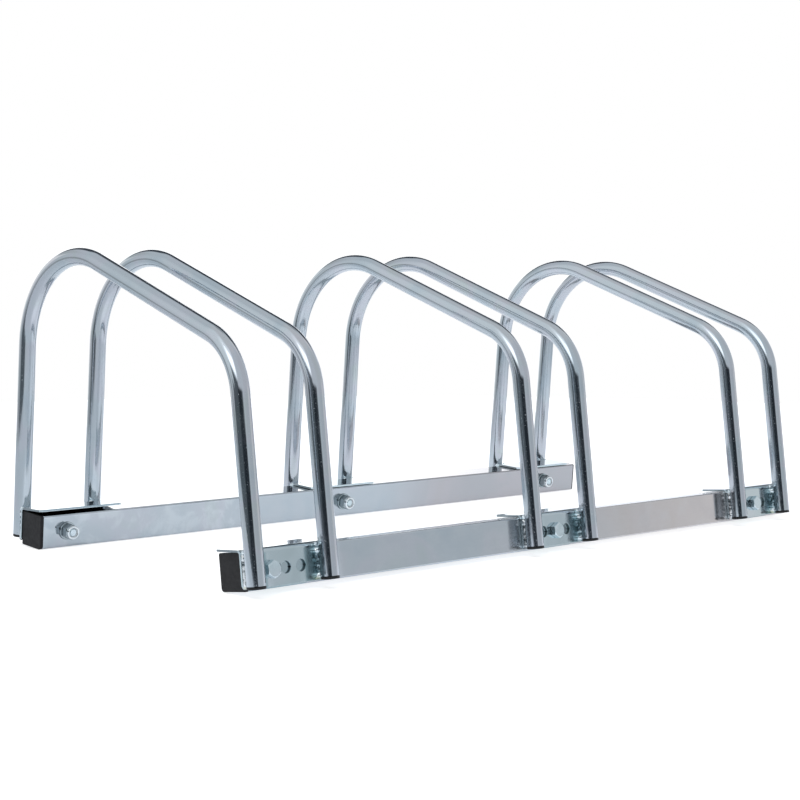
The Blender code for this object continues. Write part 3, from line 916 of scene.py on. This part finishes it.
def bracket_look():
    """Bright zinc on pressed plate, duller beside the legs, with a painted dark reflection of the
    legs beside them and painted shade in the holes and on the flange's end faces.
    """
    look = Look("zinc_bracket", Metallic=1.0)
    colour, dull = plate_pattern(look, 0.04, 0.07, 1.12)
    x, depth, up = look.axes(look.place("lay"))
    across = look.combine(x, operation="ABSOLUTE")
    leg = HOOP_SPACING / 2
    # Painted dark reflection of the legs, and duller zinc, beside the legs, on the web and not at
    # its bare ends
    web = look.spread(up, -0.003, -0.001, 1.0, 0.0)
    beside = look.times(look.spread(across, leg - 0.02, leg - 0.0175), web)
    beside = look.times(beside, look.spread(across, leg + 0.003, leg + 0.005, 1.0, 0.0))
    colour = look.tint(colour, look.times(beside, 0.55), (0.2, 0.35, 0.38))
    nearly = look.times(look.spread(across, leg - 0.029, leg - 0.018), web)
    dull = look.combine(nearly, 0.2, "MULTIPLY_ADD", dull)
    # Painted shade on the deeper part of the holes' walls
    near = look.combine(x, HOLE_PITCH / 2, "WRAP", -HOLE_PITCH / 2)
    high = look.combine(up, RAIL_HEIGHT / 2)
    off = look.combine(look.combine(look.times(near, near), look.times(high, high)), 0.5, "POWER")
    wall = look.spread(off, HOLE_RADIUS + 0.00004, HOLE_RADIUS + 0.00016, 0.8, 0.0)
    wall = look.times(wall, look.spread(across, 0.0235, 0.0245, 1.0, 0.0))
    deep = look.spread(depth, WEB_OUTER + 0.0005, WEB_OUTER + 0.0009)
    colour = look.tint(colour, look.times(wall, deep), (0.05, 0.07, 0.08))
    # Painted shade on the flange's two end faces
    half = BRACKET_LENGTH / 2
    tip = look.times(look.spread(across, half - 0.0004, half - 0.0002),
                     look.spread(depth, WEB_INNER + 0.001, WEB_INNER + 0.002))
    colour = look.tint(colour, look.times(tip, 0.6), (0.1, 0.11, 0.12))
    return look.complete(colour, dull)


def nut_look():
    """Zinc on a lock nut, darkened as painted shade, and lighter on its collar than on its hexagon
    as a painted highlight.
    """
    look = Look("zinc_nut", Metallic=1.0)
    colour, dull = plate_pattern(look, 0.05, 0.08, 0.66)
    up = look.axes(look.place("lay"))[2]
    # Painted highlight on the collar, over zinc darkened as painted shade
    collar = look.spread(up, HEXAGON_HEIGHT + 0.0001, HEXAGON_HEIGHT + 0.0005)
    return look.complete(look.tint(colour, collar, (0.86, 0.9, 0.92)), dull)


def weld_look(name, body, bright):
    """Glossy zinc over weld metal: darker and lighter in fine spots, with a painted highlight on
    its swollen ends and lumps, yellowed low down.
    """
    look = Look(name, Metallic=1.0)
    place = look.place()
    fine_spots = look.noise(place, 260.0, 3.0, 0.55)
    colour = look.ramp(fine_spots, body)
    lump = look.axes(look.place("lay"))[0]
    # Painted highlight on a bead's swollen ends and on the lumps, as far as the lay's first part
    # says
    colour = look.tint(colour, look.spread(lump, 0.3, 0.85, 0.0, 0.85), bright)
    height = look.axes(place)[2]
    yellow = look.spread(look.noise(place, 130.0, 2.0, 0.5), 0.52, 0.64, 0.0, 0.6)
    yellow = look.times(yellow, look.spread(height, 0.008, 0.012, 1.0, 0.0))
    colour = look.tint(colour, yellow, (0.52, 0.54, 0.36))
    dull = look.spread(fine_spots, 0.38, 0.6, 0.22, 0.1)
    return look.complete(colour, dull, look.bump(look.noise(place, 700.0, 2.0, 0.5), 0.000015, 0.5))


def plastic_look(name, colour, rough_low, rough_high):
    """Moulded black plastic with a fine grain."""
    look = Look(name, Specular_IOR_Level=0.32)
    place = look.place()
    cloud = look.noise(place, 90.0, 3.0, 0.5)
    lighter = tuple(value * 1.35 for value in colour)
    dull = look.spread(look.noise(place, 300.0, 3.0, 0.6), 0.3, 0.7, rough_low, rough_high)
    grain = look.bump(look.noise(place, 2200.0, 3.0, 0.6), 0.00004, 0.5)
    return look.complete(look.ramp(cloud, ((0.35, colour), (0.68, lighter))), dull, grain)


def insert_look():
    """Milky plastic of the lock nut's ring."""
    look = Look("nut_insert_plastic", Roughness=0.45)
    cloud = look.noise(look.place(), 400.0, 2.0, 0.5)
    return look.complete(look.ramp(cloud, ((0.35, (0.76, 0.8, 0.83)), (0.65, (0.86, 0.89, 0.91)))))


# Assembly

ACROSS = Matrix.Rotation(-pi / 2, 4, "X")
HALF_TURN = Matrix.Rotation(pi, 4, "Z")
# Each with its piece's name, where it sits and the CAD node it stands for
FASTENERS = (
    ("head", "bolt_head", HEAD_SEAT, "bolt"),
    ("thread", "bolt_thread", HEAD_SEAT, None),
    ("washer", "washer_ring", WASHER_SEAT, "washer"),
    ("nut", "lock_nut", NUT_SEAT, "nut"),
    ("insert", "nut_insert", NUT_SEAT, None),
)


def dress(piece, material, slot, *nodes):
    """Give a piece its material, unless it has one, and let it stand for CAD nodes; the slot is not
    used.
    """
    if not piece.data.materials:
        piece.data.materials.append(material)
    if nodes:
        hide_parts(*nodes)


def build_hoops(material):
    for number, x in enumerate(HOOPS, start=1):
        piece = loose(hoop_mesh(x, number * PATTERN_SHIFT), f"hoop_tube_{number}")
        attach(piece, "root")
        dress(piece, material, "bright_zinc_tube", f"hoop_{number}")


def build_rail(side, rail_material, caps, cap_material):
    left = side.rail_left
    right = left + RAIL_LENGTH
    middle = (RAIL_MIDDLE, side.rail_height)
    start = side.along(left if side.facing > 0 else right)
    piece = side.place(rail_mesh(side), f"rail_tube_{side.name}", (start, *middle))
    dress(piece, rail_material, "dull_zinc_rail", f"rail_{side.name}")
    for end, x, inward in (("left", left - SEAT, 1), ("right", right + SEAT, -1)):
        hand = inward * side.facing
        turn = Matrix() if hand > 0 else HALF_TURN
        name = f"cap_{side.name}_{end}"
        plug = side.place(caps[end, hand], name, (side.along(x), *middle), turn)
        dress(plug, cap_material, "black_rail_cap", f"rail_cap_{side.name}_{end}")


def build_welds(side, number, x, top, inner, outer):
    """Beads beside both legs of a bracket, and a lump where each leg leaves its bend."""
    seed = number * 5 + (0 if side.facing > 0 else 50)
    for leg, leg_name in ((-1, "a"), (1, "b")):
        tag = f"weld_{side.name}_{number}{leg_name}"
        at = side.along(x) + leg * HOOP_SPACING / 2
        for hand, sizes in ((-leg, INNER_BEAD), (leg, OUTER_BEAD)):
            seed += 1
            name = f"{tag}_{'in' if hand == -leg else 'out'}"
            bead = side.place(bead_mesh(hand, sizes, seed, name), name, (at, 0, top))
            dress(bead, inner if hand == -leg else outer, "zinc_bracket")
        for hand, hand_name in ((-1, "left"), (1, "right")):
            seed += 1
            name = f"{tag}_top_{hand_name}"
            lump = blob_mesh(TOP_LUMP, seed, name)
            off = INNER_LUMP_OFF if hand == -leg else OUTER_LUMP_OFF
            place = (at + hand * off, WEB_OUTER - LUMP_OUT, top - LUMP_UNDER)
            dress(side.place(lump, name, place), inner, "zinc_bracket")


def build_side(side, meshes, looks):
    build_rail(side, looks[f"rail_{side.name}"], meshes["caps"], looks["cap"])
    for number, (x, hole) in enumerate(zip(PAIRS, BOLTED_HOLE), start=1):
        tag = f"{side.name}_{number}"
        opening = BRACKET_OPENINGS[side.name][number - 1]
        top = side.bracket_top(number)
        plate = side.place(meshes[opening], f"bracket_plate_{tag}", (side.along(x), 0, top))
        dress(plate, looks["bracket"], "zinc_bracket", f"bracket_{tag}")
        build_welds(side, number, x, top, looks["inner_weld"], looks["outer_weld"])
        at = side.along(x + hole * HOLE_PITCH)
        for kind, label, seat, node in FASTENERS:
            place = (at, seat, side.rail_height)
            piece = side.place(meshes[kind], f"{label}_{tag}", place, ACROSS)
            nodes = [f"{node}_{tag}"] if node else []
            dress(piece, looks[kind], "zinc_fastener", *nodes)
    for number, x in enumerate(HOOPS, start=1):
        name = f"foot_{side.name}_{number}"
        plug = side.place(meshes["foot"], name, (side.along(x), 0, 0))
        dress(plug, looks["foot"], "black_foot_plug", f"foot_plug_{side.name}_{number}")


# Floor, studio and camera

STUDIO_FRONT = Vector((-0.67, -0.742, 0.0))
STUDIO_RIGHT = Vector((0.742, -0.67, 0.0))
# Parts of the studio round the rack: azimuth from the front, positive to the right, and
# height above the horizon, each with its half width and how soft its edge is, in degrees
STUDIO_PATCHES = (
    # Ceiling
    ((0, 92), (200, 28), (1, 10), (0.74, 0.745, 0.765)),
    # Left wall
    ((-74, 32), (22, 36), (22, 14), (0.87, 0.92, 0.95)),
    ((-132, 16), (18, 18), (20, 14), (0.56, 0.6, 0.61)),
    # Right wall, darker low down
    ((82, 24), (34, 30), (24, 16), (0.64, 0.665, 0.7)),
    ((66, 3), (28, 9), (16, 8), (0.575, 0.61, 0.645)),
    ((116, 4), (20, 9), (14, 8), (0.745, 0.745, 0.775)),
    ((102, 3.5), (6, 9), (6, 8), (0.8, 0.8, 0.81)),
    ((132, 48), (14, 10), (12, 8), (0.85, 0.84, 0.84)),
    # White backdrop
    ((-163, -0.5), (48, 20.5), (8, 4), (1.0, 1.0, 1.0)),
    ((161, -0.5), (14, 20.5), (8, 4), (1.22, 1.24, 1.33)),
    ((-170, -0.5), (15, 20.5), (8, 4), (1.8, 1.8, 1.8)),
    # Dark room over the backdrop
    ((178, 35), (38, 15), (14, 6), (0.06, 0.07, 0.085)),
    ((168, 58), (14, 8), (12, 8), (0.4, 0.42, 0.44)),
    # Softbox and its glow
    ((-38, 43), (28, 19), (18, 12), (1.08, 1.12, 1.16)),
    ((-35, 35), (20, 12), (12, 9), (1.95, 2.02, 2.1)),
    # Dim horizon on the left, and the dark room behind the camera where the floor ends
    ((-98, -8.5), (20, 6), (12, 5), (0.42, 0.45, 0.47)),
    ((-50, -9), (30, 13), (14, 4), (0.115, 0.135, 0.15)),
    ((-37, 8), (22, 10.5), (14, 5), (0.115, 0.135, 0.15)),
    ((2, 5), (25, 8.5), (15, 6), (0.026, 0.033, 0.041)),
)
STUDIO_WALLS = (0.67, 0.715, 0.755)
LAMP_PLACE = (-1.88, -0.43, 1.86)
LAMP_AIM = (0, 0, 0.12)
LAMP_SIZE = 1.1
LAMP_POWER = 9.0
# How much the floor glows for the camera, and with which colour in what the rack reflects;
# that glow fades outwards from a place under the rack's right part and one under its left.
# Each has a distance where the fade begins and ends, and how strong the glow is there
FLOOR_LIFT = 0.66
FLOOR_GLOW = (0.45, 0.45, 0.465)
FLOOR_GLOWS = (
    ((0.5, 0.1, 0.0), 0.5, 1.2, 1.0, 0.18),
    ((-0.36, -0.065, 0.0), 0.05, 0.18, 0.55, 0.0),
)
FLOOR_RADIUS = 1.65
FLOOR_PLACE = (0.45, 0.1, -0.0006)
FLOOR_SHADE = (0.82, 0.82, 0.82)
FLOOR_REFLECTED = (0.7, 0.74, 0.775)


def build_floor():
    bm = bmesh.new()
    bmesh.ops.create_circle(bm, cap_ends=True, segments=96, radius=FLOOR_RADIUS)
    ground = loose(to_mesh(bm, "floor"), "floor")
    ground.location = FLOOR_PLACE
    look = Look("pale_floor", Roughness=0.9, Specular_IOR_Level=0.0, Emission_Strength=1.0)
    rays = look.add("ShaderNodeLightPath").outputs
    seen = look.combine(rays["Is Camera Ray"], rays["Is Transmission Ray"], "MAXIMUM")
    place = look.add("ShaderNodeNewGeometry").outputs["Position"]
    fade = 0.0
    for middle, *levels in FLOOR_GLOWS:
        fade = look.combine(fade, look.spread(look.measure(place, middle, "DISTANCE"), *levels))
    reflected = rays["Is Glossy Ray"]
    glow = look.tint((0.0, 0.0, 0.0), look.times(fade, reflected), FLOOR_GLOW)
    glow = look.tint(glow, seen, (FLOOR_LIFT,) * 3)
    look.join(glow, look.shader.inputs["Emission Color"])
    pale = look.tint(FLOOR_SHADE, reflected, FLOOR_REFLECTED)
    ground.data.materials.append(look.complete(pale))


def patch_mask(nodes, azimuth, height, middle, half, soft):
    """1 inside a soft-edged rectangle of the sky, and 0 outside it."""
    off = nodes.combine(nodes.combine(azimuth, middle[0], "SUBTRACT"), 180.0, "WRAP", -180.0)
    offs = (nodes.combine(off, operation="ABSOLUTE"), nodes.gap(height, middle[1]))
    return nodes.times(*(nodes.spread(away, reach - edge / 2, reach + edge / 2, 1.0, 0.0)
                         for away, reach, edge in zip(offs, half, soft)))


def build_world():
    """White for the camera; for what the rack reflects, a studio of soft-edged parts."""
    world = bpy.data.worlds.new("studio")
    bpy.context.scene.world = world
    world.use_nodes = True
    nodes = Nodes(world.node_tree)
    way = nodes.add("ShaderNodeTexCoord").outputs["Generated"]
    front = nodes.measure(way, STUDIO_FRONT)
    right = nodes.measure(way, STUDIO_RIGHT)
    azimuth = nodes.combine(nodes.combine(right, front, "ARCTAN2"), operation="DEGREES")
    height = nodes.combine(nodes.measure(way, (0, 0, 1)), operation="ARCSINE")
    height = nodes.combine(height, operation="DEGREES")
    colour = STUDIO_WALLS
    for middle, half, soft, shade in STUDIO_PATCHES:
        mask = patch_mask(nodes, azimuth, height, middle, half, soft)
        colour = nodes.tint(colour, mask, shade)
    camera_ray = nodes.add("ShaderNodeLightPath").outputs["Is Camera Ray"]
    colour = nodes.tint(colour, camera_ray, (1.0, 1.0, 1.0))
    nodes.join(colour, world.node_tree.nodes["Background"].inputs["Color"])


def build_lamp():
    """One large soft lamp, high on the left."""
    data = bpy.data.lights.new("softbox", "AREA")
    data.shape = "SQUARE"
    data.size = LAMP_SIZE
    data.energy = LAMP_POWER
    lamp = loose(data, "softbox")
    lamp.location = LAMP_PLACE
    lamp.visible_glossy = False
    lamp.rotation_mode = "QUATERNION"
    lamp.rotation_quaternion = (Vector(LAMP_AIM) - lamp.location).to_track_quat("-Z", "Y")


# The camera as fitted to the photo; it turns by yaw, pitch and roll, in degrees
CAMERA_PLACE = (-1.204, -1.1852, 0.2507)
CAMERA_TURNS = (47.93, 4.852, -0.728)
CAMERA_LENS = 75.48
CAMERA_SHIFT = (0.081, 0.0292)


def build_camera():
    data = bpy.data.cameras.new("camera")
    data.sensor_width = 36.0
    data.lens = CAMERA_LENS
    data.shift_x, data.shift_y = CAMERA_SHIFT
    data.clip_start = 0.05
    data.clip_end = 60.0
    camera = loose(data, "camera")
    yaw, pitch, roll = (radians(turn) for turn in CAMERA_TURNS)
    forward = Vector((cos(yaw) * cos(pitch), sin(yaw) * cos(pitch), -sin(pitch)))
    right = Vector((sin(yaw), -cos(yaw), 0))
    down = forward.cross(right)
    rolled_right = right * cos(roll) + down * sin(roll)
    rolled_down = down * cos(roll) - right * sin(roll)
    rows = Matrix((rolled_right, -rolled_down, -forward)).transposed().to_4x4()
    camera.matrix_world = Matrix.Translation(CAMERA_PLACE) @ rows
    bpy.context.scene.camera = camera


def main():
    looks = {
        "tube": zinc_tube_look(),
        # The front rail's zinc is lightened and the rear rail's darkened: painted light and shade
        # on one zinc
        "rail_front": zinc_rail_look("dull_zinc_rail_front", 1.06, (-0.15, 0.15), FRONT_WARM_REFLECTION,
                                     0.14, 0.4, 0.16),
        "rail_rear": zinc_rail_look("dull_zinc_rail_rear", 0.93, (0.04, 0.16), REAR_WARM_REFLECTION,
                                    0.38, -0.1, 0.0),
        "bracket": bracket_look(),
        # The bolt head, washer, nut and thread share one zinc, lightened or darkened for each part
        # as painted light and shade
        "head": zinc_plate_look("zinc_bolt_head", 0.12, 0.24, 1.26, 0.00003),
        "washer": zinc_plate_look("zinc_washer", 0.06, 0.1, 0.75),
        "nut": nut_look(),
        "thread": zinc_plate_look("zinc_thread", 0.22, 0.34, 1.35),
        # Dark inner and light outer weld: painted shade and painted light on one weld metal
        "inner_weld": weld_look("zinc_inner_weld", INNER_WELD, (0.88, 0.95, 0.98)),
        "outer_weld": weld_look("zinc_outer_weld", OUTER_WELD, (0.9, 0.93, 0.95)),
        "insert": insert_look(),
        "foot": plastic_look("black_foot_plug", (0.012, 0.012, 0.013), 0.42, 0.55),
        "cap": plastic_look("black_rail_cap", (0.0085, 0.0078, 0.0088), 0.5, 0.64),
    }
    meshes = {
        "head": bolt_head(),
        "thread": bolt_shank(),
        "washer": washer_mesh(),
        "nut": nut_mesh(),
        "insert": insert_mesh(),
        "foot": foot_mesh(),
        "caps": {(end, hand): cap_mesh(collar, hand)
                 for end, collar in CAP_COLLARS.items() for hand in (1, -1)},
    }
    for opening in sorted({*BRACKET_OPENINGS["front"], *BRACKET_OPENINGS["rear"]}):
        meshes[opening] = bracket_mesh(radians(opening))
    build_hoops(looks["tube"])
    for side in (FRONT, REAR):
        build_side(side, meshes, looks)
    build_floor()
    build_world()
    build_lamp()
    build_camera()
    bpy.context.scene.view_settings.view_transform = "Standard"


main()
